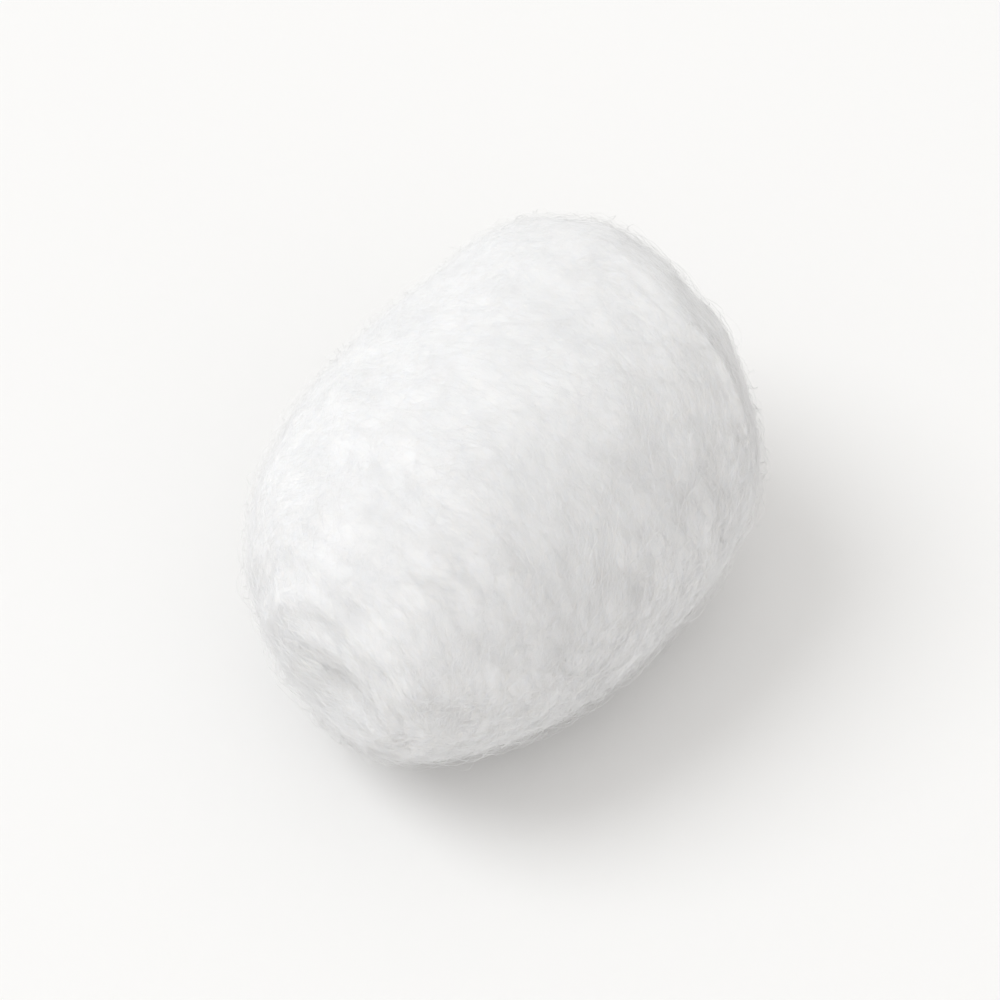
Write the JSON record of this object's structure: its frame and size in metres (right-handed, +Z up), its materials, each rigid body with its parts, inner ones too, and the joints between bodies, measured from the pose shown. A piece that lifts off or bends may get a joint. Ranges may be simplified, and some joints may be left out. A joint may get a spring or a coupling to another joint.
{
  "type": "cotton ball",
  "caption": "Soft rolled ball of white cotton wool, a short barrel of one wound strip with a swirled dimple at each end, for wiping, dabbing and packing.",
  "frame": {"origin": "middle of the underside of the ball's box, on the surface that the ball's flat spot rests on", "axes": "+X along the axis of the roll, from its gathered end towards its fuller end; +Y level across the roll; +Z up"},
  "size_m": [0.0451, 0.0323, 0.0289],
  "materials": {
    "cotton_wool": "matte, bleached loose cotton fibre, wound round the roll"
  },
  "bodies": {
    "root": {"cotton_ball": "cotton_wool"}
  },
  "joints": []
}
